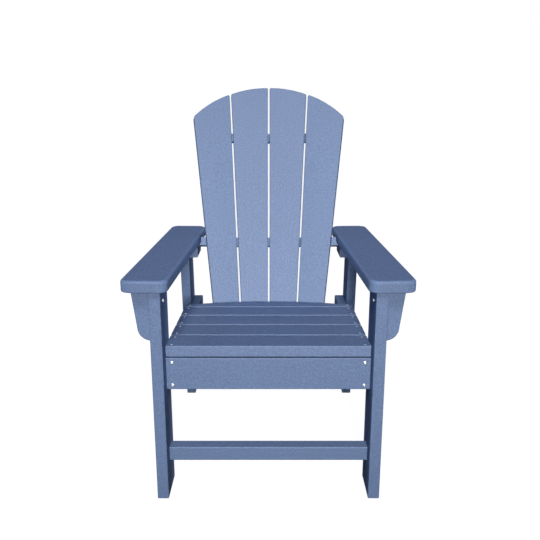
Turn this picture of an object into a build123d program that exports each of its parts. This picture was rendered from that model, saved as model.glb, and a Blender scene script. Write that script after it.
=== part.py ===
from build123d import *
from itertools import product
import math
import os

# Upright adirondack chair of poly lumber boards, screwed together and rigid, in millimetres.
# Z is up and the chair faces -Y. Left and right are as seen from the front, right being +X.
# Depths run back from the front faces of the front legs; the finished chair is then centred.

# Boards and fits
edge_round = 3.0            # rounded long edges of the boards
joint_play = 0.5            # play round ends that are let in or stand between two boards
screw_play = 0.2            # play round each shank and each sunk head

# Legs
leg_span = 601.0            # over the outer faces of the legs
leg_thickness = 30.5
leg_width = 114.0
leg_height = 584.5          # floor to the underside of the arms
rear_rake = 7.0             # degrees that the rear legs lean, feet to the rear
rear_leg_setback = 9.0      # rear leg behind the face of the back, at the top of the leg

# Arms, brackets and cleats
arm_thickness = 31.5
arm_width = 119.5
arm_toe_in = 2.4            # degrees that the arms close in towards the rear
arm_outset = 25.5           # middle of the arm's front end outside the middle of the leg
arm_front_overhang = 14.0
arm_rear_overhang = 14.0
arm_corner_radius = 28.0
arm_top_round = 8.0
bracket_thickness = 28.0
bracket_height = 139.5
bracket_reach = 49.5        # under the arm
bracket_foot_radius = 36.0  # rounded foot, down to the leg
bracket_setback = 25.0
cleat_thickness = 30.0
cleat_height = 56.0
cleat_inset = 2.0           # ends of the cleat inside the edges of the rear leg

# Seat
seat_height = 424.0         # front edge of the seat
seat_setback = 44.0
seat_slope = 3.12           # degrees, down to the rear
seat_slat_thickness = 30.5
seat_slat_width = 90.0
seat_slat_gap = 11.0
full_seat_slats = 4         # in front of the shaped rear slat
rear_slat_width = 66.0      # at its middle
seat_back_gap = 3.0         # rear slat to the back
seat_side_gap = 1.0         # slat ends to the front legs
rail_thickness = 30.0
rail_depth = 90.0
rail_end_inset = 11.0       # rear end of the rail inside the rear leg
apron_thickness = 28.0
apron_height = 90.0
apron_setback = 46.0
apron_gap = 2.3             # apron to the front slat
stretcher_thickness = 37.5
stretcher_height = 40.0
stretcher_lift = 88.3       # floor to its underside
stretcher_setback = 45.0

# Back
recline = 17.0              # degrees from upright
back_radius = 900.0         # hollow of the back across its width
back_thickness = 28.0
back_gap = 5.0
fan_length = 600.0          # from the seat to where the top widths are taken
inner_foot_width = 89.4
inner_top_width = 119.2
outer_foot_width = 87.0
outer_top_width = 122.5
back_drop = 75.0            # slats below the top of the seat
crown_height = 717.5        # seat to the top of the crown, along the back
crown_radius = 347.0
crown_corner = 14.0         # outer ends of the crown
slat_corner = 5.0           # other corners of the slats
batten_below_crown = 178.0
batten_height = 27.8
batten_depth = 28.0
batten_end_inset = 18.0     # ends of the batten inside the edges of the back
arm_rail_drop = 8.8         # underside of the arm to the lower front edge of the rail
back_rail_height = 28.0
back_rail_depth = 65.0
lower_rail_rise = 5.0       # lower end of the slats to the lower rail

# Fasteners
screw_shank = 5.0
screw_head = 10.0
screw_head_height = 2.4
seat_screw_head = 7.0       # small heads, sunk in the seat
bolt_shank = 8.0
bolt_head = 16.0
bolt_head_height = 4.0
screw_bite = 15.0           # end of a screw in the board that it holds
end_bite = 35.0             # the same along a board, from its end
bolt_bite = 25.0
apron_screw_edge = 13.0
seat_screw_edge = 13.0
seat_screw_bite = 10.0
back_screw_spread = 44.0
back_screw_grip = 24.0      # rail under the heads of the back screws
stretcher_screw_spread = 20.0
front_bolt_spread = 40.0
rear_bolt_spread = 50.0
bracket_screw_drop = 33.5   # underside of the arm to the screw from the leg
bracket_screw_bite = 14.0
bracket_grip = 70.0         # bracket over the head of the screw that holds the arm
cleat_grip = 36.0           # cleat and rail over the heads of the rear arm screws
cleat_screw_rise = 13.0
cleat_screw_spread = 50.0
rail_end_screw_spread = 32.0

# Values that follow from the sizes above
LEFT, RIGHT = -1, 1
leg_outer = leg_span / 2
leg_inner = leg_outer - leg_thickness
rail_inner = leg_inner - rail_thickness
rail_middle = leg_inner - rail_thickness / 2
apron_back = apron_setback + apron_thickness
slat_pitch = seat_slat_width + seat_slat_gap
slope = math.radians(seat_slope)
lean = math.radians(recline)
rake = math.tan(math.radians(rear_rake))

ACROSS = Vector(1, 0, 0)
UPWARD = Vector(0, 0, 1)
seat_plane = Plane((0, seat_setback, seat_height), ACROSS, (0, math.sin(slope), math.cos(slope)))
rear_slat_start = full_seat_slats * slat_pitch
back_foot = seat_plane.from_local_coords(Vector(0, rear_slat_start + rear_slat_width + seat_back_gap, 0))
back_up = Vector(0, math.sin(lean), math.cos(lean))
back_front = Vector(0, -math.cos(lean), math.sin(lean))

back_at_arms = back_foot.Y + (leg_height - back_foot.Z) * math.tan(lean)
rear_leg_foot = back_at_arms + rear_leg_setback + leg_height * rake
rear_leg_run = leg_width / math.cos(math.radians(rear_rake))

pieces = {}


def rear_leg_front(height):
    """Depth of the rear leg's front edge at a height."""
    return rear_leg_foot - height * rake


def rail_top(depth):
    """Height of the seat rail's top edge, under the slats, at a depth."""
    return seat_height - (depth - seat_setback) * math.tan(slope) - seat_slat_thickness / math.cos(slope)


def between(x_range, y_range, z_range):
    """A box between limits on the three axes."""
    sizes = [high - low for low, high in (x_range, y_range, z_range)]
    middle = [(high + low) / 2 for low, high in (x_range, y_range, z_range)]
    return Pos(*middle) * Box(*sizes)


def add_pair(name, right_piece):
    """A piece of the right side and its mirror image on the left."""
    pieces[name + "_right"] = right_piece
    pieces[name + "_left"] = mirror(right_piece, about=Plane.YZ)


def upright_board(outline, inner_face, thickness):
    """A board on edge along the right side, from its outline in depths and heights."""
    face = Plane.YZ.offset(inner_face) * make_face(Polyline(*outline, close=True))
    return extrude(face, thickness, dir=(1, 0, 0))


# Legs
front_leg = between((leg_inner, leg_outer), (0, leg_width), (0, leg_height))
add_pair("front_leg", fillet(front_leg.edges().filter_by(Axis.Z), edge_round))

rear_leg_outline = [
    (rear_leg_foot, 0),
    (rear_leg_foot + rear_leg_run, 0),
    (rear_leg_front(leg_height) + rear_leg_run, leg_height),
    (rear_leg_front(leg_height), leg_height),
]
rear_leg = upright_board(rear_leg_outline, leg_inner, leg_thickness)
rake_axis = Axis((0, 0, 0), (0, -rake, 1))
add_pair("rear_leg", fillet(rear_leg.edges().filter_by(rake_axis), edge_round))

# Arms, with round corners and a soft top edge
arm_rear = rear_leg_front(leg_height) + rear_leg_run + arm_rear_overhang
arm_length = (arm_rear + arm_front_overhang) / math.cos(math.radians(arm_toe_in))
arm_front_middle = leg_outer - leg_thickness / 2 + arm_outset
arm_place = Pos(arm_front_middle, -arm_front_overhang, leg_height) * Rot(0, 0, arm_toe_in)


def arm_outline(play=0.0):
    """Plan of the right arm, with play all round."""
    plan = Pos(0, arm_length / 2) * Rectangle(arm_width + 2 * play, arm_length + 2 * play)
    return fillet(plan.vertices(), arm_corner_radius + play)


arm = extrude(arm_outline(), arm_thickness)
arm = fillet(arm.edges().group_by(Axis.Z)[-1], arm_top_round)
arm = fillet(arm.edges().group_by(Axis.Z)[0], edge_round)
add_pair("arm", arm_place * arm)

# Brackets outside the front legs, with a rounded foot
bracket_foot = leg_height - bracket_height
bracket_shoulder = bracket_foot + bracket_foot_radius
bracket_outline = [
    CenterArc((leg_outer, bracket_shoulder), bracket_foot_radius, -90, 90),
    Line((leg_outer + bracket_foot_radius, bracket_shoulder), (leg_outer + bracket_reach, leg_height)),
    Line((leg_outer + bracket_reach, leg_height), (leg_outer, leg_height)),
    Line((leg_outer, leg_height), (leg_outer, bracket_foot)),
]
bracket_face = Plane.XZ.offset(-bracket_setback) * make_face(bracket_outline)
bracket = extrude(bracket_face, bracket_thickness, dir=(0, 1, 0))
free_sides = bracket.faces().filter_by(lambda face: face.normal_at().X > 0.1)
free_edges = [edge for face in free_sides for edge in face.edges() if edge.length > bracket_foot_radius]
add_pair("arm_bracket", fillet(free_edges, edge_round))

# Apron and stretcher between the front legs
apron_top = rail_top(apron_back) - apron_gap
apron = between((-leg_inner, leg_inner), (apron_setback, apron_back), (apron_top - apron_height, apron_top))
pieces["front_apron"] = fillet(apron.edges().filter_by(Axis.X), edge_round)

stretcher_back = stretcher_setback + stretcher_thickness
stretcher_top = stretcher_lift + stretcher_height
stretcher_depths = (stretcher_setback, stretcher_back)
stretcher = between((-leg_inner, leg_inner), stretcher_depths, (stretcher_lift, stretcher_top))
pieces["front_stretcher"] = fillet(stretcher.edges().filter_by(Axis.X), edge_round)

# Seat rails, on edge inside the legs, from the apron to the rear legs
rail_fall = rail_depth / math.cos(slope)
rail_rear = rear_leg_front(rail_top(rear_leg_foot) - rail_depth / 2) + rear_leg_run - rail_end_inset
seat_rail_outline = [
    (apron_back, rail_top(apron_back)),
    (rail_rear, rail_top(rail_rear)),
    (rail_rear, rail_top(rail_rear) - rail_fall),
    (apron_back, rail_top(apron_back) - rail_fall),
]
seat_rail = upright_board(seat_rail_outline, rail_inner, rail_thickness)
rail_axis = Axis((0, 0, 0), (0, math.cos(slope), -math.sin(slope)))
add_pair("seat_rail", fillet(seat_rail.edges().filter_by(rail_axis), edge_round))

# Seat slats: full ones, then one shaped to the hollow of the back
seat_half = leg_inner - seat_side_gap
back_axis_point = back_foot + back_front * back_radius
hollow = Plane(back_axis_point, ACROSS, back_up) * Cylinder(back_radius - seat_back_gap, 2 * seat_height)


def seat_slat(start, width):
    """A seat slat in the seat's own plane, from its front edge."""
    return between((-seat_half, seat_half), (start, start + width), (-seat_slat_thickness, 0))


for number in range(full_seat_slats):
    slat = seat_slat(number * slat_pitch, seat_slat_width)
    slat = fillet(slat.edges().filter_by(Axis.X), edge_round)
    pieces[f"seat_slat_{number + 1}"] = seat_plane * slat
rear_slat = (seat_plane * seat_slat(rear_slat_start, rear_slat_width + seat_back_gap)) & hollow
rear_slat_top = rear_slat.faces().sort_by(Axis((0, 0, 0), seat_plane.z_dir))[-1]
long_edges = [edge for edge in rear_slat_top.edges() if edge.length > seat_half]
pieces["seat_slat_rear"] = fillet(long_edges, edge_round)

# Back slats: flat boards that fan out, each one turned to lie along the hollow


def hollow_point(height, arc):
    """A point of the back's face, from its height along the back and its arc from the middle."""
    turn = arc / back_radius
    across = ACROSS * (back_radius * math.sin(turn))
    forward = back_front * (back_radius * (1 - math.cos(turn)))
    return back_foot + back_up * height + across + forward


def slat_plane(foot_arc, top_arc):
    """Face of a slat: x across it, y up it, z out of its front."""
    foot = hollow_point(0, foot_arc)
    along = (hollow_point(fan_length, top_arc) - foot).normalized()
    turn = (foot_arc + top_arc) / 2 / back_radius
    outward = back_front * math.cos(turn) - ACROSS * math.sin(turn)
    return Plane(foot, along.cross(outward), outward - along * outward.dot(along))


def slat_outline(foot_width, top_width, low, high, left_grow=0.0, right_grow=0.0):
    """A slat's tapered outline between two heights, widened on either side."""
    def half(height):
        return (foot_width + (top_width - foot_width) * height / fan_length) / 2
    corners = [
        (-half(low) - left_grow, low),
        (half(low) + right_grow, low),
        (half(high) + right_grow, high),
        (-half(high) - left_grow, high),
    ]
    return make_face(Polyline(*corners, close=True))


inner_widths = (inner_foot_width, inner_top_width)
outer_widths = (outer_foot_width, outer_top_width)
inner_arcs = [back_gap / 2 + inner / 2 for inner in inner_widths]
outer_arcs = [1.5 * back_gap + inner + outer / 2 for inner, outer in zip(inner_widths, outer_widths)]
slat_rows = {"inner": (inner_arcs, inner_widths), "outer": (outer_arcs, outer_widths)}
crown_centre = back_foot + back_up * (crown_height - crown_radius)
for row, (arcs, widths) in slat_rows.items():
    face = slat_plane(*arcs)
    centre = face.to_local_coords(crown_centre)
    crown = Pos(centre.X, centre.Y) * Circle(crown_radius)
    crown += Pos(centre.X, centre.Y - crown_height / 2) * Rectangle(2 * crown_radius, crown_height)
    outline = slat_outline(*widths, -back_drop, crown_height + back_gap) & crown
    corners = outline.vertices().sort_by(Axis((0, 0, 0), (1, 1, 0)))
    outline = fillet(corners[:-1], slat_corner)
    outer_corner = outline.vertices().sort_by(Axis((0, 0, 0), (1, 1, 0)))[-1]
    outline = fillet(outer_corner, crown_corner if row == "outer" else slat_corner)
    slat = extrude(outline, -back_thickness)
    add_pair(f"back_slat_{row}", face * fillet(slat.edges().group_by(Axis.Z)[-1], edge_round))

# Back rails: boards square to the slats, cut in front to flats that the slats lie on
slat_beds = []
for row, (arcs, widths) in slat_rows.items():
    bed = slat_plane(*arcs).offset(-back_thickness)
    outer_grow = leg_span if row == "outer" else back_gap
    bed_face = bed * slat_outline(*widths, -2 * back_drop, crown_height, back_gap, outer_grow)
    cutter = extrude(bed_face, back_radius / 4, dir=bed.z_dir)
    slat_beds += [cutter, mirror(cutter, about=Plane.YZ)]


def rail_blank(low, height, depth, length, play=0.0):
    """A rail with a bowed rear edge, before the slats' flats are cut."""
    level = Plane(back_foot + back_up * low, ACROSS, back_up)
    rear_edge = Pos(0, -back_radius) * Circle(back_radius + back_thickness + depth + play)
    plan = rear_edge & Pos(0, depth / 2) * Rectangle(length, back_radius / 4)
    return extrude(level * plan, height, dir=back_up)


def back_rail(low, height, depth, length):
    """A back rail with the slats' flats and a rounded rear edge."""
    rail = rail_blank(low, height, depth, length)
    rear_face = rail.faces().filter_by(GeomType.CYLINDER)[0]
    long_edges = [edge for edge in rear_face.edges() if edge.length > length / 2]
    return fillet(long_edges, edge_round) - slat_beds


batten_low = crown_height - batten_below_crown
batten_share = batten_low / fan_length
outer_edges = [arc + width / 2 for arc, width in zip(outer_arcs, outer_widths)]
batten_arc = outer_edges[0] + (outer_edges[1] - outer_edges[0]) * batten_share - batten_end_inset
batten_length = 2 * back_radius * math.sin(batten_arc / back_radius)
arm_rail_low = (leg_height - arm_rail_drop - back_foot.Z) / math.cos(lean)
lower_rail_low = lower_rail_rise - back_drop
arm_rail_length = 2 * (leg_inner - joint_play)
pieces["top_back_batten"] = back_rail(batten_low, batten_height, batten_depth, batten_length)
pieces["lower_back_rail"] = back_rail(lower_rail_low, back_rail_height, back_rail_depth, 2 * rail_inner)

# The rail at the arms is halved at its ends, to lie under the arms
arm_room = arm_place * extrude(arm_outline(joint_play), leg_height)
arm_rail = back_rail(arm_rail_low, back_rail_height, back_rail_depth, arm_rail_length)
pieces["arm_back_rail"] = arm_rail - [arm_room, mirror(arm_room, about=Plane.YZ)]

# Cleats inside the rear legs carry the arms and the ends of that rail
cleat_foot = leg_height - cleat_height
cleat_front = rear_leg_front(cleat_foot) + cleat_inset
cleat_rear = rear_leg_front(leg_height) + rear_leg_run - cleat_inset
cleat_inner = leg_inner - cleat_thickness
cleat = between((cleat_inner, leg_inner), (cleat_front, cleat_rear), (cleat_foot, leg_height))
cleat = fillet(cleat.edges().filter_by(Axis.Y).group_by(Axis.Z)[0], edge_round)
rail_room = rail_blank(arm_rail_low, 2 * back_rail_height, back_rail_depth, leg_span, joint_play)
add_pair("arm_cleat", cleat - rail_room)

# Screws and bolts: each one has its head on a seat and its shank along the seat's z axis
INTO = (Align.CENTER, Align.CENTER, Align.MIN)
OUT_OF = (Align.CENTER, Align.CENTER, Align.MAX)


def fasten(node, boards, seats, length, sink=0.0, shank=screw_shank, head=screw_head, rise=screw_head_height):
    """A group of like fasteners and their holes; sunk heads get a counterbore of that depth."""
    fastener = Cylinder(shank / 2, length, align=INTO) + Cylinder(head / 2, rise, align=OUT_OF)
    bore = Cylinder(shank / 2 + screw_play, length + screw_play, align=INTO)
    if sink:
        bore += Cylinder(head / 2 + screw_play, sink, align=OUT_OF)
    pieces[node] = Compound(children=[seat * fastener for seat in seats])
    for board in boards:
        pieces[board] = pieces[board] - [seat * bore for seat in seats]


def seat_at(x, y, z, direction):
    """A seat at a point, with the shank running in that direction."""
    return Plane((x, y, z), z_dir=direction)


def both(name):
    """The names of a pair."""
    return [name + "_left", name + "_right"]


SIDES = (LEFT, RIGHT)
PAIR = (-0.5, 0.5)

apron_screw_heights = (apron_top - apron_height + apron_screw_edge, apron_top - apron_screw_edge)
seats = [seat_at(s * rail_middle, apron_setback, z, (0, 1, 0)) for s in SIDES for z in apron_screw_heights]
fasten("apron_screws", ["front_apron"] + both("seat_rail"), seats, apron_thickness + end_bite)

rear_screw_inset = (rear_slat_width - rail_middle**2 / (2 * back_radius)) / 2
screw_rows = [rear_slat_start + rear_screw_inset]
for number in range(full_seat_slats):
    screw_rows.append(number * slat_pitch + seat_screw_edge)
    screw_rows.append(number * slat_pitch + seat_slat_width - seat_screw_edge)
seat_screw_level = Plane(seat_plane.origin - seat_plane.z_dir * screw_head_height, ACROSS, seat_plane.z_dir)
seats = [
    Plane(seat_screw_level.from_local_coords(Vector(s * rail_middle, row, 0)), ACROSS, -seat_plane.z_dir)
    for s in SIDES
    for row in screw_rows
]
seat_boards = [f"seat_slat_{number + 1}" for number in range(full_seat_slats)] + ["seat_slat_rear"]
seat_boards += ["front_apron"] + both("seat_rail")
seat_screw_length = seat_slat_thickness - screw_head_height + seat_screw_bite
fasten("seat_screws", seat_boards, seats, seat_screw_length, 2 * screw_head_height, head=seat_screw_head)

stretcher_middle = stretcher_setback + stretcher_thickness / 2
stretcher_rows = [stretcher_lift + stretcher_height / 2 + p * stretcher_screw_spread for p in PAIR]
seats = [seat_at(s * leg_outer, stretcher_middle, z, (-s, 0, 0)) for s in SIDES for z in stretcher_rows]
fasten("stretcher_screws", ["front_stretcher"] + both("front_leg"), seats, leg_thickness + end_bite)

rail_centre = rail_fall / 2
front_bolt_depth = (apron_back + leg_width) / 2
front_rows = [rail_top(front_bolt_depth) - rail_centre + p * front_bolt_spread for p in PAIR]
seats = [seat_at(s * leg_outer, front_bolt_depth, z, (-s, 0, 0)) for s in SIDES for z in front_rows]
rear_bolt_middle = rear_leg_front(rail_top(rail_rear) - rail_centre) + rear_leg_run / 2
for depth in [rear_bolt_middle + p * rear_bolt_spread for p in PAIR]:
    seats += [seat_at(s * leg_outer, depth, rail_top(depth) - rail_centre, (-s, 0, 0)) for s in SIDES]
bolted = both("front_leg") + both("rear_leg") + both("seat_rail")
fasten("leg_bolts", bolted, seats, leg_thickness + bolt_bite, 0, bolt_shank, bolt_head, bolt_head_height)

bracket_middle = bracket_setback + bracket_thickness / 2
bracket_screw_height = leg_height - bracket_screw_drop
seats = [seat_at(s * leg_inner, bracket_middle, bracket_screw_height, (s, 0, 0)) for s in SIDES]
fasten("bracket_screws", both("front_leg") + both("arm_bracket"), seats, leg_thickness + bracket_screw_bite)

arm_screw_x = leg_outer + bracket_reach / 2
seats = [seat_at(s * arm_screw_x, bracket_middle, leg_height - bracket_grip, UPWARD) for s in SIDES]
held = both("arm_bracket") + both("arm")
fasten("front_arm_screws", held, seats, bracket_grip + screw_bite, sink=bracket_height)

cleat_middle = (cleat_front + cleat_rear) / 2
cleat_rows = [cleat_middle + p * cleat_screw_spread for p in PAIR]
cleat_screw_height = cleat_foot + cleat_screw_rise
seats = [seat_at(s * leg_outer, y, cleat_screw_height, (-s, 0, 0)) for s in SIDES for y in cleat_rows]
fasten("cleat_screws", both("rear_leg") + both("arm_cleat"), seats, leg_thickness + screw_bite)

arm_screw_rows = (cleat_front + cleat_screw_rise, cleat_middle)
arm_screw_seat = leg_height - cleat_grip
cleat_line = leg_inner - cleat_thickness / 2
seats = [seat_at(s * cleat_line, y, arm_screw_seat, UPWARD) for s in SIDES for y in arm_screw_rows]
held = both("arm_cleat") + ["arm_back_rail"] + both("arm")
fasten("rear_arm_screws", held, seats, cleat_grip + screw_bite, sink=cleat_height)

slat_names = both("back_slat_inner") + both("back_slat_outer")
for rail, level in (
    ("top_back_batten", batten_low + batten_height / 2),
    ("arm_back_rail", arm_rail_low + back_rail_height / 2),
    ("lower_back_rail", lower_rail_low + back_rail_height / 2),
):
    seats = []
    for (foot_arc, top_arc), side in product((inner_arcs, outer_arcs), SIDES):
        face = slat_plane(side * foot_arc, side * top_arc)
        for x in [p * back_screw_spread for p in PAIR]:
            point = face.from_local_coords(Vector(x, level, -back_thickness - back_screw_grip))
            seats.append(Plane(point, face.x_dir, face.z_dir))
    back_screw_length = back_screw_grip + screw_bite
    fasten(rail + "_screws", [rail] + slat_names, seats, back_screw_length, sink=2 * back_rail_depth)

rail_end_middle = lower_rail_low + back_rail_height / 2
rail_end_plane = Plane(back_foot + back_up * rail_end_middle, ACROSS, back_up)
rail_end_rows = [(back_thickness + back_rail_depth) / 3 + p * rail_end_screw_spread for p in PAIR]
seats = []
for s in SIDES:
    for row in rail_end_rows:
        point = rail_end_plane.from_local_coords(Vector(s * leg_inner, row, 0))
        seats.append(Plane(point, z_dir=(-s, 0, 0)))
fasten("lower_rail_end_screws", ["lower_back_rail"] + both("seat_rail"), seats, rail_thickness + end_bite)

# Centre the chair over its own footprint and write one file for each piece or group
chair = Compound(children=[Compound(children=piece.solids()) for piece in pieces.values()])
box = chair.bounding_box()
centring = Pos(0, -(box.min.Y + box.max.Y) / 2, -box.min.Z)
os.makedirs("parts", exist_ok=True)
for name, piece in pieces.items():
    export_step(centring * piece, f"parts/{name}.step")
print(len(pieces), "nodes,", " x ".join(f"{size:.1f}" for size in box.size), "mm")
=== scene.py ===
"""Looks of an upright adirondack chair of moulded plastic boards, laid out as a Blender add-on.

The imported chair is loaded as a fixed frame. Its boards keep their shapes and get a grained
plastic finish that follows each board; the screws and bolts are made anew with driven heads.
"""

import math

import bmesh
import bpy
import numpy as np
from mathutils import Matrix, Vector


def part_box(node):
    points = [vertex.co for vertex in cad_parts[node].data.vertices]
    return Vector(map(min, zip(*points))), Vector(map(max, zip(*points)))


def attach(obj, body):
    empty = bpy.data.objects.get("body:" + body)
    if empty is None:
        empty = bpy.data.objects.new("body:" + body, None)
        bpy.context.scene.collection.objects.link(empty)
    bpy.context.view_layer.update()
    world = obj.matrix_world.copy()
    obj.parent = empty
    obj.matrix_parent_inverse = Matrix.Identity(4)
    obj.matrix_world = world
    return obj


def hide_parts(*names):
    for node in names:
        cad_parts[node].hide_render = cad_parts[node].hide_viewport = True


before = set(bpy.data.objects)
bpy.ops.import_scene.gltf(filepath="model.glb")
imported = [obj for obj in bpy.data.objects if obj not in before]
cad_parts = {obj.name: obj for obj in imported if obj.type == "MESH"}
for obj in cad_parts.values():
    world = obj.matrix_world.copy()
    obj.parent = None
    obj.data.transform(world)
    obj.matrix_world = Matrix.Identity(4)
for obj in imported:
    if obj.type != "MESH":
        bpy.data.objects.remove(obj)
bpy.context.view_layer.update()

bl_info = {
    "name": "Adirondack chair finish",
    "version": (1, 0, 0),
    "blender": (4, 5, 0),
    "location": "View3D > Sidebar > Adirondack",
    "description": "Finishes the boards, screws and bolts of an upright adirondack chair",
    "category": "Object",
}

BODY = "root"
SIDES = {"left": -1, "right": 1}

# Points nearer to each other than this, in metres, are one
SAME_POINT = 1e-6

SCREW_GROUPS = (
    "apron_screws",
    "seat_screws",
    "stretcher_screws",
    "bracket_screws",
    "front_arm_screws",
    "cleat_screws",
    "rear_arm_screws",
    "top_back_batten_screws",
    "arm_back_rail_screws",
    "lower_back_rail_screws",
    "lower_rail_end_screws",
)
BOLT_GROUPS = ("leg_bolts",)


# Settings that a user would change


class AdirondackBoards(bpy.types.PropertyGroup):
    """Colour and grain of the moulded boards, and how they stand in the chair."""

    colour: bpy.props.FloatVectorProperty(
        name="Colour", description="Body colour of the boards", subtype="COLOR",
        size=3, min=0.0, max=1.0, default=(0.125, 0.191, 0.335))
    fleck_contrast: bpy.props.FloatProperty(
        name="Fleck contrast", description="Light and dark flecks of the moulded skin",
        subtype="FACTOR", min=0.0, max=1.0, default=0.30)
    fleck_size: bpy.props.FloatProperty(
        name="Fleck size", description="Width of a fleck",
        unit="LENGTH", min=0.0005, max=0.02, default=0.0042)
    pebble_size: bpy.props.FloatProperty(
        name="Pebble size", description="Width of a pebble of the fine moulded grain",
        unit="LENGTH", min=0.0005, max=0.02, default=0.0014)
    streak_contrast: bpy.props.FloatProperty(
        name="Streak contrast", description="Drawn streaks along a board",
        subtype="FACTOR", min=0.0, max=1.0, default=0.04)
    streak_width: bpy.props.FloatProperty(
        name="Streak width", description="Width of a drawn streak",
        unit="LENGTH", min=0.0005, max=0.02, default=0.0022)
    streak_length: bpy.props.FloatProperty(
        name="Streak length", description="Length of a drawn streak",
        unit="LENGTH", min=0.01, max=1.0, default=0.085)
    roughness: bpy.props.FloatProperty(
        name="Roughness", description="Roughness of the skin",
        subtype="FACTOR", min=0.0, max=1.0, default=0.52)
    grain_depth: bpy.props.FloatProperty(
        name="Grain depth", description="Depth of the pressed grain",
        unit="LENGTH", min=0.0, max=0.002, default=0.00035)
    sheen: bpy.props.FloatProperty(
        name="Sheen", description="Even sheen of the skin, as much from the side as from the front",
        subtype="FACTOR", min=0.0, max=1.0, default=0.075)
    rake: bpy.props.FloatProperty(
        name="Rake", description="Lean of the rear legs",
        subtype="ANGLE", default=math.radians(7.0))
    toe_in: bpy.props.FloatProperty(
        name="Toe-in", description="Turn of the arms towards the rear",
        subtype="ANGLE", default=math.radians(2.4))
    slope: bpy.props.FloatProperty(
        name="Slope", description="Fall of the seat to the rear",
        subtype="ANGLE", default=math.radians(3.12))
    recline: bpy.props.FloatProperty(
        name="Recline", description="Lean of the back",
        subtype="ANGLE", default=math.radians(17.0))
    inner_fan: bpy.props.FloatProperty(
        name="Inner fan", description="Sideways lean of the inner back slats",
        subtype="ANGLE", default=math.radians(1.4))
    outer_fan: bpy.props.FloatProperty(
        name="Outer fan", description="Sideways lean of the outer back slats",
        subtype="ANGLE", default=math.radians(4.5))
    inner_turn: bpy.props.FloatProperty(
        name="Inner turn", description="Turn of the inner back slats into the hollow",
        subtype="ANGLE", default=math.radians(3.5))
    outer_turn: bpy.props.FloatProperty(
        name="Outer turn", description="Turn of the outer back slats into the hollow",
        subtype="ANGLE", default=math.radians(10.4))


class AdirondackFasteners(bpy.types.PropertyGroup):
    """Heads of the screws and bolts; the rest of their sizes come from the frame."""

    colour: bpy.props.FloatVectorProperty(
        name="Colour", description="Colour of the bright steel", subtype="COLOR",
        size=3, min=0.0, max=1.0, default=(0.73, 0.77, 0.80))
    roughness: bpy.props.FloatProperty(
        name="Roughness", description="Roughness of the steel",
        subtype="FACTOR", min=0.0, max=1.0, default=0.45)
    screw_drive: bpy.props.FloatProperty(
        name="Screw drive", description="Width of the drive, as a share of a screw's head",
        subtype="FACTOR", min=0.1, max=0.9, default=0.46)
    bolt_drive: bpy.props.FloatProperty(
        name="Bolt drive", description="Width of the drive, as a share of a bolt's head",
        subtype="FACTOR", min=0.1, max=0.9, default=0.50)
    drive_depth: bpy.props.FloatProperty(
        name="Drive depth", description="Depth of the drive, as a share of the head's height",
        subtype="FACTOR", min=0.1, max=1.0, default=0.62)
    lobe: bpy.props.FloatProperty(
        name="Lobes", description="How far the six lobes of the drive stand out",
        subtype="FACTOR", min=0.0, max=0.5, default=0.13)
    segments: bpy.props.IntProperty(
        name="Segments", description="Faces round a head", min=12, max=96, default=36)
    seed: bpy.props.IntProperty(
        name="Seed", description="Seed of the turn that each fastener was left at", default=7)


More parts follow.
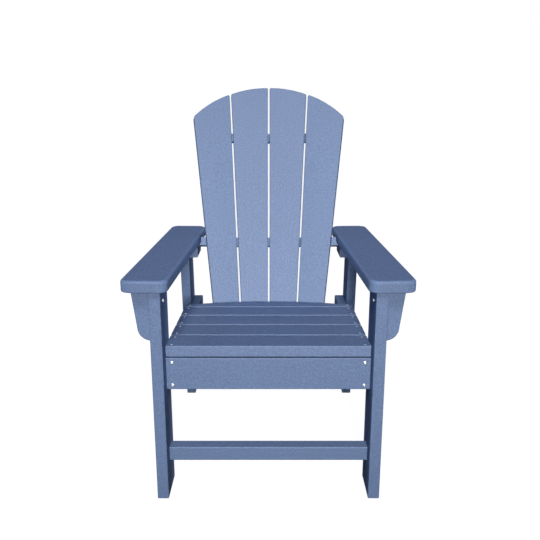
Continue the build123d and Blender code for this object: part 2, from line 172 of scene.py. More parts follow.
class AdirondackStage(bpy.types.PropertyGroup):
    """Floor, light and camera."""

    floor_glow: bpy.props.FloatProperty(
        name="Floor glow", description="Part of the floor's white that takes no shadow",
        subtype="FACTOR", min=0.0, max=1.0, default=0.98)
    floor_colour: bpy.props.FloatProperty(
        name="Floor colour", description="Part of the floor's white that takes the shadow",
        subtype="FACTOR", min=0.0, max=1.0, default=0.10)
    # The floor's dimming in gloss round the chair is painted shade
    floor_dim: bpy.props.FloatProperty(
        name="Floor dim", description="Reach round the chair in which the floor is dim in gloss",
        unit="LENGTH", min=0.0, default=3.5)
    backdrop: bpy.props.FloatProperty(
        name="Backdrop", description="Height of the backdrop round the floor",
        unit="LENGTH", min=0.0, default=5.5)
    key_level: bpy.props.FloatProperty(
        name="Key light", description="Level of the main light, on the chair", min=0.0, default=0.932)
    key_colour: bpy.props.FloatVectorProperty(
        name="Key colour", description="Colour of the lamps", subtype="COLOR",
        size=3, min=0.0, max=1.0, default=(1.0, 0.95, 0.90))
    key_height: bpy.props.FloatProperty(
        name="Key height", description="Height of the main light over the horizon",
        subtype="ANGLE", default=math.radians(10.0))
    key_rise: bpy.props.FloatProperty(
        name="Key rise", description="Height between the two lamps of the tall main light",
        subtype="ANGLE", default=math.radians(11.0))
    key_turn: bpy.props.FloatProperty(
        name="Key turn", description="Turn of the main light to the right of the front",
        subtype="ANGLE", default=math.radians(2.6))
    key_reach: bpy.props.FloatProperty(
        name="Key reach", description="Distance of the main light and the top light",
        unit="LENGTH", min=1.0, default=4.0)
    key_beam: bpy.props.FloatProperty(
        name="Key beam", description="Opening of the main light's soft beam",
        subtype="ANGLE", default=math.radians(36.5))
    key_aim: bpy.props.FloatProperty(
        name="Key aim", description="Height on the chair that the beam is aimed at",
        unit="LENGTH", default=0.54)
    key_spread: bpy.props.FloatProperty(
        name="Key spread", description="Width of the main light, which softens its shadows",
        subtype="ANGLE", default=math.radians(8.0))
    top_level: bpy.props.FloatProperty(
        name="Top light", description="Level of the light above the main one", min=0.0, default=0.49)
    top_height: bpy.props.FloatProperty(
        name="Top height", description="Height of the top light over the horizon",
        subtype="ANGLE", default=math.radians(50.0))
    top_turn: bpy.props.FloatProperty(
        name="Top turn", description="Turn of the top light to the right of the front",
        subtype="ANGLE", default=math.radians(-4.0))
    top_beam: bpy.props.FloatProperty(
        name="Top beam", description="Opening of the top light's soft beam",
        subtype="ANGLE", default=math.radians(150.0))
    top_spread: bpy.props.FloatProperty(
        name="Top spread", description="Width of the top light, which softens its shadows",
        subtype="ANGLE", default=math.radians(12.0))
    side_level: bpy.props.FloatProperty(
        name="Side light", description="Level of the low lights on the two sides", min=0.0, default=0.26)
    left_turn: bpy.props.FloatProperty(
        name="Left turn", description="Turn of the left light from the front",
        subtype="ANGLE", default=math.radians(-90.0))
    right_turn: bpy.props.FloatProperty(
        name="Right turn", description="Turn of the right light from the front",
        subtype="ANGLE", default=math.radians(94.0))
    rear_level: bpy.props.FloatProperty(
        name="Rear light", description="Level of the low light on the back", min=0.0, default=0.60)
    low_height: bpy.props.FloatProperty(
        name="Low height", description="Height of the side and rear lights over the horizon",
        subtype="ANGLE", default=math.radians(2.0))
    low_spread: bpy.props.FloatProperty(
        name="Low spread", description="Width of the side and rear lights, which softens their shadows",
        subtype="ANGLE", default=math.radians(8.0))
    fill_colour: bpy.props.FloatVectorProperty(
        name="Fill light", description="Even light from all round", subtype="COLOR",
        size=3, min=0.0, max=1.0, default=(0.024, 0.053, 0.168))
    camera_place: bpy.props.FloatVectorProperty(
        name="Camera", description="Place of the camera, from the floor in front of the legs",
        subtype="TRANSLATION", unit="LENGTH", size=3, default=(0.0043, -1.5476, 1.050))
    camera_pitch: bpy.props.FloatProperty(
        name="Pitch", description="Tilt of the camera from straight down",
        subtype="ANGLE", default=math.radians(75.2))
    lens: bpy.props.FloatProperty(
        name="Lens", description="Focal length in millimetres", min=1.0, default=43.33)


# Node trees from expressions


class Wire:
    """An output socket; arithmetic on it adds Math nodes to its tree."""

    def __init__(self, graph, socket):
        self.graph = graph
        self.socket = socket

    def math(self, operation, *values):
        inputs = dict(enumerate((self, *values)))
        return self.graph.node("ShaderNodeMath", {"operation": operation}, inputs)

    def __add__(self, other):
        return self.math("ADD", other)

    __radd__ = __add__

    def __mul__(self, other):
        return self.math("MULTIPLY", other)

    __rmul__ = __mul__

    def __sub__(self, other):
        return self.math("SUBTRACT", other)

    def __rsub__(self, other):
        return (self * -1.0) + other

    def __abs__(self):
        return self.math("ABSOLUTE")

    def largest(self, other):
        return self.math("MAXIMUM", other)

    def between(self, low, high):
        """0 below low, 1 above high and smooth between them."""
        limits = {"Value": self, "From Min": low, "From Max": high}
        return self.graph.node("ShaderNodeMapRange", {"interpolation_type": "SMOOTHSTEP"}, limits)

    def parts(self):
        """The three values of a vector."""
        split = self.graph.node("ShaderNodeSeparateXYZ", {}, {"Vector": self}).socket.node
        return [Wire(self.graph, socket) for socket in split.outputs]


class Graph:
    """The nodes of one tree, added by type."""

    def __init__(self, tree):
        self.tree = tree

    def node(self, kind, settings=None, inputs=None, output=0):
        """Adds a node, sets it up, then gives or links its sockets; returns one output.

        The setting "items" is the number of an Index Switch's choices.
        """
        made = self.tree.nodes.new(kind)
        for name, value in (settings or {}).items():
            if name == "items":
                for _ in range(value - len(made.index_switch_items)):
                    made.index_switch_items.new()
            else:
                setattr(made, name, value)
        for name, value in (inputs or {}).items():
            if isinstance(value, Wire):
                self.tree.links.new(value.socket, made.inputs[name])
            else:
                made.inputs[name].default_value = value
        return Wire(self, made.outputs[output]) if made.outputs else made


def fresh_material(name):
    """A material with an empty tree, and the tree's graph."""
    material = bpy.data.materials.new(name)
    material.use_nodes = True
    material.node_tree.nodes.clear()
    return material, Graph(material.node_tree)


def with_alpha(colour):
    return (*colour, 1.0)


def scaled(colour, share):
    return with_alpha([channel * share for channel in colour])


# Sockets of a Mix node for colours, by number because their names repeat
MIX_SHARE, MIX_LOW, MIX_HIGH, MIX_RESULT = 0, 6, 7, 2


def mixed(graph, share, low, high):
    """A colour between two colours."""
    inputs = {MIX_SHARE: share, MIX_LOW: low, MIX_HIGH: high}
    return graph.node("ShaderNodeMix", {"data_type": "RGBA"}, inputs, MIX_RESULT)


# Finish of the boards

# Marks in a metre, and how much they keep of that along the board, across it and through it
CLOUDS, CLOUD_DRAW = 7.0, (0.4, 1.0, 1.0)
SAW_LINES, SAW_DRAW = 900.0, (0.05, 1.0, 0.05)
PORES = 520.0
EVEN = (1.0, 1.0, 1.0)

# Noise runs from 0 to 1 but keeps near its middle, so a contrast is raised by the gain
NOISE_ROUGHNESS = 0.6
NOISE_MIDDLE = 0.5
NOISE_GAIN = 3.0

# Where marks set in and are whole: sawn ends and flat faces by their facing, pores by their noise
SAWN_RANGE = (0.86, 0.97)
FLAT_RANGE = (0.90, 0.995)
PORE_RANGE = (0.60, 0.70)

# Weights of the marks, and the shares of the body colour that the tones run between; the lighter tone of
# rounded edges is a painted highlight
TONE = {"cloud": 0.05, "rounded": 0.06, "sawn": 0.05, "pores": 0.10}
ROUGH = {"fleck": 0.22, "sawn": 0.14, "rounded": 0.05}
HEIGHT = {"fleck": 0.8, "pebble": 0.35, "streak": 0.1, "saw_lines": 0.8, "pores": 1.0}
DARKEST, LIGHTEST = 0.62, 1.38
GRAIN_STRENGTH = 0.55
SHEEN_IOR = 4.0


def board_turn(grain, face):
    """Turn that lays a board's grain along x and its broad face across z."""
    along = Vector(grain).normalized()
    outward = Vector(face) - along * along.dot(Vector(face))
    outward.normalize()
    across = outward.cross(along)
    return Matrix((along, across, outward)).to_euler()


def board_finish(name, grain, face):
    """Moulded plastic with flecks, drawn streaks, pressed grain, sawn ends and a painted highlight on
    rounded edges.
    """
    look = bpy.context.scene.adirondack_boards
    material, graph = fresh_material(name)
    turn = board_turn(grain, face)
    places = graph.node("ShaderNodeTexCoord", output="Object")
    normals = graph.node("ShaderNodeTexCoord", output="Normal")
    place = graph.node("ShaderNodeMapping", {}, {"Vector": places, "Rotation": turn})
    facing = graph.node("ShaderNodeMapping", {"vector_type": "VECTOR"}, {
        "Vector": normals, "Rotation": turn})

    def noise(scale, detail, draw=EVEN):
        drawn = graph.node("ShaderNodeMapping", {}, {"Vector": place, "Scale": draw})
        inputs = {"Vector": drawn, "Scale": scale, "Detail": detail, "Roughness": NOISE_ROUGHNESS}
        return graph.node("ShaderNodeTexNoise", {}, inputs)

    fleck = noise(1.0 / look.fleck_size, 3.0)
    pebble = noise(1.0 / look.pebble_size, 1.0)
    streak_draw = (look.streak_width / look.streak_length, 1.0, 1.0)
    streak = noise(1.0 / look.streak_width, 2.0, streak_draw)
    cloud = noise(CLOUDS, 2.0, CLOUD_DRAW)

    x, y, z = [abs(part) for part in facing.parts()]
    sawn = x.between(*SAWN_RANGE)
    moulded = 1.0 - sawn
    # Rounded edges: a little smoother, and painted lighter as a highlight
    rounded = 1.0 - x.largest(y).largest(z).between(*FLAT_RANGE)
    saw_lines = noise(SAW_LINES, 1.0, SAW_DRAW)
    pores = noise(PORES, 2.0).between(*PORE_RANGE)

    tone = (fleck - NOISE_MIDDLE) * look.fleck_contrast * NOISE_GAIN
    tone = tone + (streak - NOISE_MIDDLE) * look.streak_contrast * NOISE_GAIN * moulded
    tone = tone + (pebble - NOISE_MIDDLE) * look.fleck_contrast
    tone = tone + (cloud - NOISE_MIDDLE) * TONE["cloud"]
    # Rounded edges get a lighter tone, a painted highlight; sawn ends are darker, with dark pores
    tone = tone + rounded * TONE["rounded"] - sawn * (TONE["sawn"] + TONE["pores"] * pores)
    share = (tone + NOISE_MIDDLE).between(0.0, 1.0)
    colour = mixed(graph, share, scaled(look.colour, DARKEST), scaled(look.colour, LIGHTEST))

    rough = look.roughness + (fleck - NOISE_MIDDLE) * ROUGH["fleck"]
    rough = rough + sawn * ROUGH["sawn"] - rounded * ROUGH["rounded"]
    height = fleck * HEIGHT["fleck"]
    height = height + (pebble * HEIGHT["pebble"] + streak * HEIGHT["streak"]) * moulded
    height = height + (saw_lines * HEIGHT["saw_lines"] - pores * HEIGHT["pores"]) * sawn
    bump = graph.node("ShaderNodeBump", {}, {
        "Height": height, "Strength": GRAIN_STRENGTH, "Distance": look.grain_depth})
    surface = graph.node("ShaderNodeBsdfPrincipled", {}, {
        "Base Color": colour, "Roughness": rough, "Normal": bump, "Specular IOR Level": 0.0,
        "Coat Weight": look.sheen, "Coat Roughness": look.roughness, "Coat IOR": SHEEN_IOR})
    graph.node("ShaderNodeOutputMaterial", {}, {"Surface": surface})
    return material


def finish_boards(names, grain, face):
    """Gives boards that lie the same way one finish."""
    material = board_finish(names[0] + "_finish", grain, face)
    for name in names:
        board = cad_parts[name]
        board.data.materials.clear()
        board.data.materials.append(material)


def both(name):
    return [f"{name}_{side}" for side in SIDES]


# Screws and bolts

# Finish of the steel: marks in a metre, the tones that smears run between, and what grit does
GRIT, SMEARS = 1600.0, 220.0
SMEAR_RANGE = (0.3, 0.7)
STEEL_DARKEST, STEEL_LIGHTEST = 0.9, 1.08
GRIT_ROUGH, GRIT_STRENGTH, GRIT_DEPTH = 0.18, 0.2, 0.0001

# Shape of a head: lobes round the drive, and the bend in radians from which an edge is crisp
LOBES = 6.0
CRISP_BEND = 0.6

# A CAD fastener's rim reaches out at least this share, and its shank starts this far under it
RIM_SHARE = 0.9
UNDER_RIM = 1e-4

# Sockets of a Random Value node for floats, by number because their names repeat
RANDOM_LOW, RANDOM_HIGH, RANDOM_RESULT = 2, 3, 1


def steel_finish(name):
    """Bright steel with fine grit and faint smears."""
    look = bpy.context.scene.adirondack_fasteners
    material, graph = fresh_material(name)
    places = graph.node("ShaderNodeTexCoord", output="Object")
    grit = graph.node("ShaderNodeTexNoise", {}, {"Vector": places, "Scale": GRIT, "Detail": 3.0})
    smear = graph.node("ShaderNodeTexNoise", {}, {"Vector": places, "Scale": SMEARS, "Detail": 2.0})
    dark = scaled(look.colour, STEEL_DARKEST)
    light = scaled(look.colour, STEEL_LIGHTEST)
    colour = mixed(graph, smear.between(*SMEAR_RANGE), dark, light)
    rough = look.roughness + (grit - NOISE_MIDDLE) * GRIT_ROUGH
    bump = graph.node("ShaderNodeBump", {}, {
        "Height": grit, "Strength": GRIT_STRENGTH, "Distance": GRIT_DEPTH})
    surface = graph.node("ShaderNodeBsdfPrincipled", {}, {
        "Base Color": colour, "Roughness": rough, "Normal": bump, "Metallic": 1.0})
    graph.node("ShaderNodeOutputMaterial", {}, {"Surface": surface})
    return material


def fastener_tree():
    """Geometry nodes that turn a fastener from its sizes and set one at each point."""
    tree = bpy.data.node_groups.new("Driven fasteners", "GeometryNodeTree")
    graph = Graph(tree)
    sockets = {
        "Seats": "Geometry", "Head radius": "Float", "Head height": "Float", "Shank radius": "Float",
        "Shank length": "Float", "Drive radius": "Float", "Drive depth": "Float", "Lobe": "Float",
        "Segments": "Int", "Seed": "Int", "Steel": "Material",
    }
    for name, kind in sockets.items():
        tree.interface.new_socket(name, in_out="INPUT", socket_type="NodeSocket" + kind)
    tree.interface.new_socket("Fasteners", in_out="OUTPUT", socket_type="NodeSocketGeometry")
    given = graph.node("NodeGroupInput").socket.node
    wire = {name: Wire(graph, given.outputs[name]) for name in sockets}
    head, height = wire["Head radius"], wire["Head height"]
    shank, length = wire["Shank radius"], wire["Shank length"]
    drive, depth = wire["Drive radius"], wire["Drive depth"]

    # Rings of the turned shape from the tip to the floor of the drive: radius, height and lobes
    rings = [
        (shank * 0.0, length * -1.0, 0.0),
        (shank * 0.45, length * -1.0 + shank * 0.5, 0.0),
        (shank, length * -1.0 + shank * 2.0, 0.0),
        (shank, height * 0.0, 0.0),
        (head * 0.98, height * 0.0, 0.0),
        (head, height * 0.06, 0.0),
        (head, height * 0.26, 0.0),
        (head * 0.965, height * 0.48, 0.0),
        (head * 0.88, height * 0.72, 0.0),
        (head * 0.74, height * 0.90, 0.0),
        (drive * 1.12, height, 0.0),
        (drive, height * 0.985, 1.0),
        (drive * 0.93, height * 0.93, 1.0),
        (drive * 0.86, height - depth, 1.0),
        (drive * 0.0, height - depth * 1.08, 0.0),
    ]
    last = len(rings) - 1
    sheet = graph.node("GeometryNodeMeshGrid", {}, {
        "Size X": 1.0, "Size Y": 1.0, "Vertices X": wire["Segments"] + 1.0, "Vertices Y": last + 1})

    # The sheet's places run from -0.5 to 0.5: along it from ring to ring, across it once round
    across, along, _ = graph.node("GeometryNodeInputPosition").parts()
    ring = ((along + 0.5) * float(last)).math("ROUND")
    angle = (across + 0.5) * math.tau

    def by_ring(column):
        choices = {"Index": ring}
        choices.update({str(number): row[column] for number, row in enumerate(rings)})
        settings = {"data_type": "FLOAT", "items": last + 1}
        return graph.node("GeometryNodeIndexSwitch", settings, choices)

    lobes = (angle * LOBES).math("COSINE") * wire["Lobe"] * by_ring(2)
    radius = by_ring(0) * (1.0 + lobes)
    spot = graph.node("ShaderNodeCombineXYZ", {}, {
        "X": radius * angle.math("COSINE"), "Y": radius * angle.math("SINE"), "Z": by_ring(1)})
    turned = graph.node("GeometryNodeSetPosition", {}, {"Geometry": sheet, "Position": spot})
    closed = graph.node("GeometryNodeMergeByDistance", {}, {"Geometry": turned, "Distance": SAME_POINT})
    smooth = graph.node("GeometryNodeSetShadeSmooth", {"domain": "FACE"}, {
        "Geometry": closed, "Shade Smooth": True})
    bend = graph.node("GeometryNodeInputMeshEdgeAngle")
    crisp = graph.node("FunctionNodeCompare", {"data_type": "FLOAT", "operation": "GREATER_THAN"}, {
        "A": bend, "B": CRISP_BEND})
    fastener = graph.node("GeometryNodeSetShadeSmooth", {"domain": "EDGE"}, {
        "Geometry": smooth, "Selection": crisp, "Shade Smooth": False})

    # One at each seat, out along its axis and left at any turn
    axis = graph.node("GeometryNodeInputNamedAttribute", {"data_type": "FLOAT_VECTOR"}, {"Name": "axis"})
    upright = graph.node("FunctionNodeAlignRotationToVector", {"axis": "Z"}, {"Vector": axis})
    chance = graph.node("FunctionNodeRandomValue", {"data_type": "FLOAT"}, {
        RANDOM_LOW: 0.0, RANDOM_HIGH: math.tau, "Seed": wire["Seed"]}, RANDOM_RESULT)
    twist = graph.node("FunctionNodeAxisAngleToRotation", {}, {"Axis": (0.0, 0.0, 1.0), "Angle": chance})
    turn = graph.node("FunctionNodeRotateRotation", {"rotation_space": "LOCAL"}, {
        "Rotation": upright, "Rotate By": twist})
    set_out = graph.node("GeometryNodeInstanceOnPoints", {}, {
        "Points": wire["Seats"], "Instance": fastener, "Rotation": turn})
    real = graph.node("GeometryNodeRealizeInstances", {}, {"Geometry": set_out})
    steel = graph.node("GeometryNodeSetMaterial", {}, {"Geometry": real, "Material": wire["Steel"]})
    graph.node("NodeGroupOutput", {}, {"Fasteners": steel})
    return tree


def solid_points(node):
    """The points of each separate solid in a group of fasteners."""
    work = bmesh.new()
    work.from_mesh(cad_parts[node].data)
    bmesh.ops.remove_doubles(work, verts=work.verts, dist=SAME_POINT)
    left = set(work.verts)
    solids = []
    for vert in work.verts:
        if vert not in left:
            continue
        found = {vert}
        border = {vert}
        while border:
            border = {edge.other_vert(v) for v in border for edge in v.link_edges} - found
            found |= border
        left -= found
        solids.append(np.array([v.co for v in work.verts if v in found]))
    work.free()
    return solids


def fastener_seat(points):
    """Seat, outward axis and sizes of one fastener from the points of its solid."""
    middle = (points.min(0) + points.max(0)) / 2
    axis = np.linalg.eigh(np.cov((points - middle).T))[1][:, -1]
    run = (points - middle) @ axis
    reach = np.linalg.norm(points - middle - np.outer(run, axis), axis=1)
    spread = reach.max()
    rim = run[reach > RIM_SHARE * spread]
    if rim.mean() < 0:
        axis, run, rim = -axis, -run, -rim
    shank = reach[run < rim.min() - UNDER_RIM].max()
    sizes = {
        "Head radius": spread, "Head height": rim.max() - rim.min(),
        "Shank radius": shank, "Shank length": rim.min() - run.min(),
    }
    return middle + axis * rim.min(), axis, sizes


def make_fasteners(node, drive_share, steel, tree, seed):
    """Replaces a group of CAD fasteners with driven ones, as one mesh."""
    look = bpy.context.scene.adirondack_fasteners
    seats = [fastener_seat(points) for points in solid_points(node)]
    mesh = bpy.data.meshes.new(node + "_seats")
    mesh.from_pydata([tuple(point) for point, _, _ in seats], [], [])
    axes = np.array([axis for _, axis, _ in seats], np.float32)
    mesh.attributes.new("axis", "FLOAT_VECTOR", "POINT").data.foreach_set("vector", axes.ravel())
    piece = bpy.data.objects.new("driven_" + node, mesh)
    bpy.context.scene.collection.objects.link(piece)
    sizes = {name: float(value) for name, value in seats[0][2].items()}
    sizes["Drive radius"] = sizes["Head radius"] * drive_share
    sizes["Drive depth"] = sizes["Head height"] * look.drive_depth
    sizes.update({"Lobe": look.lobe, "Segments": look.segments, "Seed": seed, "Steel": steel})
    modifier = piece.modifiers.new("Fasteners", "NODES")
    modifier.node_group = tree
    for socket in tree.interface.items_tree:
        if socket.in_out == "INPUT" and socket.name in sizes:
            modifier[socket.identifier] = sizes[socket.name]
    bpy.context.view_layer.update()
    graph = bpy.context.evaluated_depsgraph_get()
    made = bpy.data.meshes.new_from_object(piece.evaluated_get(graph))
    piece.modifiers.remove(modifier)
    piece.data = made
    made.name = piece.name
    if not made.polygons:
        raise RuntimeError(f"no fasteners were made for {node}")
    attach(piece, BODY)
    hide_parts(node)


# Operators, one for each group of pieces


class ADIRONDACK_OT_legs(bpy.types.Operator):
    """Finish the legs, the seat rails, the apron and the stretcher"""

    bl_idname = "adirondack.legs"
    bl_label = "Legs and underframe"

    def execute(self, context):
        look = context.scene.adirondack_boards
        side = (1, 0, 0)
        finish_boards(both("front_leg"), (0, 0, 1), side)
        finish_boards(both("rear_leg"), (0, -math.sin(look.rake), math.cos(look.rake)), side)
        finish_boards(both("seat_rail"), (0, math.cos(look.slope), -math.sin(look.slope)), side)
        finish_boards(["front_apron", "front_stretcher"], (1, 0, 0), (0, 1, 0))
        return {"FINISHED"}


class ADIRONDACK_OT_arms(bpy.types.Operator):
    """Finish the arms, their brackets and their cleats"""

    bl_idname = "adirondack.arms"
    bl_label = "Arms"

    def execute(self, context):
        look = context.scene.adirondack_boards
        for side, sign in SIDES.items():
            grain = (-sign * math.sin(look.toe_in), math.cos(look.toe_in), 0)
            finish_boards([f"arm_{side}"], grain, (0, 0, 1))
        finish_boards(both("arm_bracket"), (0, 0, 1), (0, 1, 0))
        finish_boards(both("arm_cleat"), (0, 1, 0), (1, 0, 0))
        return {"FINISHED"}


class ADIRONDACK_OT_seat(bpy.types.Operator):
    """Finish the seat slats"""

    bl_idname = "adirondack.seat"
    bl_label = "Seat"

    def execute(self, context):
        slope = context.scene.adirondack_boards.slope
        names = sorted(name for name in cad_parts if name.startswith("seat_slat"))
        finish_boards(names, (1, 0, 0), (0, math.sin(slope), math.cos(slope)))
        return {"FINISHED"}


class ADIRONDACK_OT_back(bpy.types.Operator):
    """Finish the fanned back slats and the rails behind them"""

    bl_idname = "adirondack.back"
    bl_label = "Back"

    def execute(self, context):
        look = context.scene.adirondack_boards
        across = Vector((1, 0, 0))
        up = Vector((0, math.sin(look.recline), math.cos(look.recline)))
        front = Vector((0, -math.cos(look.recline), math.sin(look.recline)))
        rows = {"inner": (look.inner_fan, look.inner_turn), "outer": (look.outer_fan, look.outer_turn)}
        for row, (fan, turn) in rows.items():
            for side, sign in SIDES.items():
                grain = up * math.cos(fan) + across * (sign * math.sin(fan))
                face = front * math.cos(turn) - across * (sign * math.sin(turn))
                finish_boards([f"back_slat_{row}_{side}"], grain, face)
        finish_boards(["arm_back_rail", "lower_back_rail", "top_back_batten"], across, up)
        return {"FINISHED"}


class ADIRONDACK_OT_fasteners(bpy.types.Operator):
    """Make the screws and bolts with driven heads"""

    bl_idname = "adirondack.fasteners"
    bl_label = "Screws and bolts"

    def execute(self, context):
        look = context.scene.adirondack_fasteners
        steel = steel_finish("bright_steel")
        tree = fastener_tree()
        for number, node in enumerate(SCREW_GROUPS):
            make_fasteners(node, look.screw_drive, steel, tree, look.seed + number)
        for number, node in enumerate(BOLT_GROUPS):
            make_fasteners(node, look.bolt_drive, steel, tree, look.seed - 1 - number)
        return {"FINISHED"}


# Stage

# Reach of the floor in metres, the sides of its outline, and the width of the camera's sensor
FLOOR_REACH = 30.0
FLOOR_SIDES = 48
SENSOR_MM = 36.0

# The floor's glow is full white from this many times floor_dim
GLOW_FADE = 3.0

# Energy that lights a white board to white, of a lamp with an even level and of a sun
SPOT_WHITE = (2 * math.pi) ** 2
SUN_WHITE = math.pi


class ADIRONDACK_OT_stage(bpy.types.Operator):
    """Set the floor, the light and the camera"""

    bl_idname = "adirondack.stage"
    bl_label = "Stage"

    def execute(self, context):
        look = context.scene.adirondack_stage
        context.scene.view_settings.view_transform = "Standard"
        self.lay_floor(look)
        self.light_world(look)
        self.hang_lamps(look)
        self.set_camera(look)
        return {"FINISHED"}

    def seen(self, graph, *rays):
        """1 for rays of these kinds, 0 for the others."""
        path = graph.node("ShaderNodeLightPath").socket.node
        first, *others = [Wire(graph, path.outputs[f"Is {ray} Ray"]) for ray in rays]
        for other in others:
            first = first.largest(other)
        return first

    def lay_floor(self, look):
        """A wide pale floor that turns up into a low backdrop all round."""
        sides = FLOOR_SIDES
        turns = [math.tau * number / sides for number in range(sides)]
        ring = [(FLOOR_REACH * math.cos(turn), FLOOR_REACH * math.sin(turn)) for turn in turns]
        points = [(x, y, z) for z in (0.0, look.backdrop) for x, y in ring]
        faces = [range(sides)]
        faces += [(i - 1, i, sides + i, sides + i - 1) for i in range(1, sides)]
        faces += [(sides - 1, 0, sides, 2 * sides - 1)]
        mesh = bpy.data.meshes.new("floor")
        mesh.from_pydata(points, [], faces)
        floor = bpy.data.objects.new("floor", mesh)
        floor.visible_shadow = False
        bpy.context.scene.collection.objects.link(floor)
        ground = self.pale("pale_floor", look.floor_colour, look.floor_glow, look.floor_dim)
        mesh.materials.append(ground)
        mesh.materials.append(self.pale("pale_backdrop", 0.0, 1.0))
        for face in mesh.polygons[1:]:
            face.material_index = 1

    def pale(self, name, colour, glow, dim=0.0):
        """White to the eye, in gloss and through glass, of a part that takes shadows and one that glows.

        Within dim of the chair the glow is dim in gloss, a painted shade of the chair on the floor as
        seen in reflections, and farther off it grows to full white.
        """
        material, graph = fresh_material(name)
        plain = graph.node("ShaderNodeBsdfDiffuse", {}, {"Color": with_alpha([colour] * 3)})
        mirrored = self.seen(graph, "Glossy")
        if dim:
            place = graph.node("ShaderNodeTexCoord", output="Object")
            away = graph.node("ShaderNodeVectorMath", {"operation": "LENGTH"}, {0: place}, "Value")
            # Painted shade: the floor round the chair shows dark in gloss
            mirrored = mirrored * away.between(0.0, dim)
            glow = 1.0 - (1.0 - away.between(dim, GLOW_FADE * dim)) * (1.0 - glow)
        strength = self.seen(graph, "Camera", "Transmission").largest(mirrored) * glow
        light = graph.node("ShaderNodeEmission", {}, {"Strength": strength})
        both_parts = graph.node("ShaderNodeAddShader", {}, {0: plain, 1: light})
        graph.node("ShaderNodeOutputMaterial", {}, {"Surface": both_parts})
        return material

    def light_world(self, look):
        """Even fill light, under a ceiling that is white to the eye, in gloss and through glass."""
        world = bpy.data.worlds.new("studio")
        world.use_nodes = True
        world.node_tree.nodes.clear()
        graph = Graph(world.node_tree)
        fill = graph.node("ShaderNodeBackground", {}, {"Color": with_alpha(look.fill_colour)})
        white = graph.node("ShaderNodeBackground", {}, {"Color": with_alpha((1.0, 1.0, 1.0))})
        share = self.seen(graph, "Camera", "Glossy", "Transmission")
        light = graph.node("ShaderNodeMixShader", {}, {0: share, 1: fill, 2: white})
        graph.node("ShaderNodeOutputWorld", {}, {"Surface": light})
        bpy.context.scene.world = world

    def hang_lamps(self, look):
        """A tall main light and a top light in front, and far lamps at the sides and behind."""
        low = look.key_height - look.key_rise / 2
        high = look.key_height + look.key_rise / 2
        near = {
            "low_key": (look.key_level / 2, low, look.key_turn, look.key_beam, look.key_spread),
            "high_key": (look.key_level / 2, high, look.key_turn, look.key_beam, look.key_spread),
            "top": (look.top_level, look.top_height, look.top_turn, look.top_beam, look.top_spread),
        }
        aim = Vector((0.0, 0.0, look.key_aim))
        for name, (level, height, turn, beam, spread) in near.items():
            lamp = bpy.data.lights.new(name, "SPOT")
            lamp.spot_size = beam
            lamp.spot_blend = 1.0
            lamp.shadow_soft_size = look.key_reach * math.tan(spread / 2)
            lamp.energy = level * SPOT_WHITE
            self.keep_level(lamp)
            out = self.way_out(height, turn)
            self.hang(lamp, out, look.key_colour, aim + out * look.key_reach)
        far = {
            "left": (look.side_level, look.left_turn),
            "right": (look.side_level, look.right_turn),
            "rear": (look.rear_level, math.pi),
        }
        for name, (level, turn) in far.items():
            lamp = bpy.data.lights.new(name, "SUN")
            lamp.angle = look.low_spread
            lamp.energy = level * SUN_WHITE
            hung = self.hang(lamp, self.way_out(look.low_height, turn), look.key_colour)
            hung.visible_glossy = False

    def keep_level(self, lamp):
        """Keeps a lamp's level the same at any distance from it."""
        lamp.use_nodes = True
        lamp.node_tree.nodes.clear()
        graph = Graph(lamp.node_tree)
        level = graph.node("ShaderNodeLightFalloff", {}, {"Strength": 1.0}, "Constant")
        light = graph.node("ShaderNodeEmission", {}, {"Strength": level})
        graph.node("ShaderNodeOutputLight", {}, {"Surface": light})

    def way_out(self, height, turn):
        """Direction of a lamp from its height over the horizon and its turn from the front."""
        flat = math.cos(height)
        return Vector((math.sin(turn) * flat, -math.cos(turn) * flat, math.sin(height)))

    def hang(self, lamp, out, colour, place=(0.0, 0.0, 0.0)):
        """Hangs a lamp that shines against the way out to it."""
        lamp.color = colour
        hung = bpy.data.objects.new(lamp.name, lamp)
        bpy.context.scene.collection.objects.link(hung)
        hung.location = place
        hung.rotation_euler = (-out).to_track_quat("-Z", "Y").to_euler()
        hung.visible_camera = False
        return hung

    def set_camera(self, look):
        """The photograph's camera, whose place is given from the floor in front of the legs."""
        lens = bpy.data.cameras.new("camera")
        lens.sensor_width = SENSOR_MM
        lens.lens = look.lens
        camera = bpy.data.objects.new("camera", lens)
        bpy.context.scene.collection.objects.link(camera)
        legs_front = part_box("front_leg_left")[0][1]
        camera.location = Vector(look.camera_place) + Vector((0.0, legs_front, 0.0))
        camera.rotation_euler = (look.camera_pitch, 0.0, 0.0)
        bpy.context.scene.camera = camera


STEPS = (
    ADIRONDACK_OT_stage,
    ADIRONDACK_OT_legs,
    ADIRONDACK_OT_arms,
    ADIRONDACK_OT_seat,
    ADIRONDACK_OT_back,
    ADIRONDACK_OT_fasteners,
)
SETTINGS = {
    "adirondack_boards": AdirondackBoards,
    "adirondack_fasteners": AdirondackFasteners,
    "adirondack_stage": AdirondackStage,
}


class ADIRONDACK_PT_panel(bpy.types.Panel):
    """Settings and steps of the chair's finish"""

    bl_idname = "ADIRONDACK_PT_panel"
    bl_label = "Adirondack chair"
    bl_space_type = "VIEW_3D"
    bl_region_type = "UI"
    bl_category = "Adirondack"

    def draw(self, context):
        for name, group in SETTINGS.items():
            column = self.layout.column()
            for setting in group.__annotations__:
                column.prop(getattr(context.scene, name), setting)
        for step in STEPS:
            self.layout.operator(step.bl_idname)


def register():
    for group in SETTINGS.values():
        bpy.utils.register_class(group)
    for name, group in SETTINGS.items():
        setattr(bpy.types.Scene, name, bpy.props.PointerProperty(type=group))
    for step in STEPS:
        bpy.utils.register_class(step)
    bpy.utils.register_class(ADIRONDACK_PT_panel)


def unregister():
    bpy.utils.unregister_class(ADIRONDACK_PT_panel)
    for step in reversed(STEPS):
        bpy.utils.unregister_class(step)
    for name in SETTINGS:
        delattr(bpy.types.Scene, name)
    for group in SETTINGS.values():
        bpy.utils.unregister_class(group)


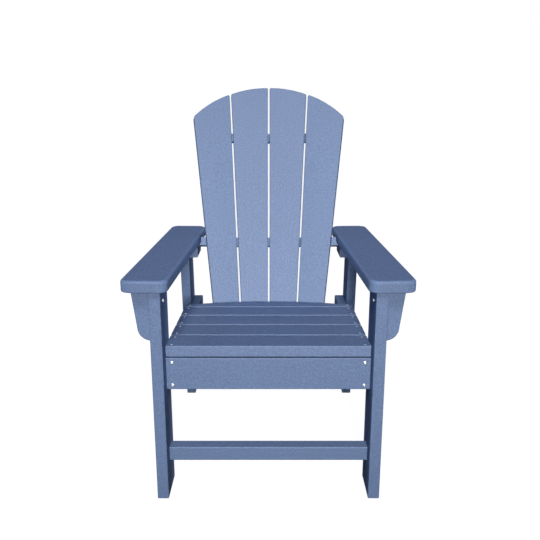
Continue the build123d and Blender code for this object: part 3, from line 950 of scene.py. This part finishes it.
def main():
    register()
    bpy.ops.adirondack.stage()
    bpy.ops.adirondack.legs()
    bpy.ops.adirondack.arms()
    bpy.ops.adirondack.seat()
    bpy.ops.adirondack.back()
    bpy.ops.adirondack.fasteners()


if __name__ == "__main__":
    main()
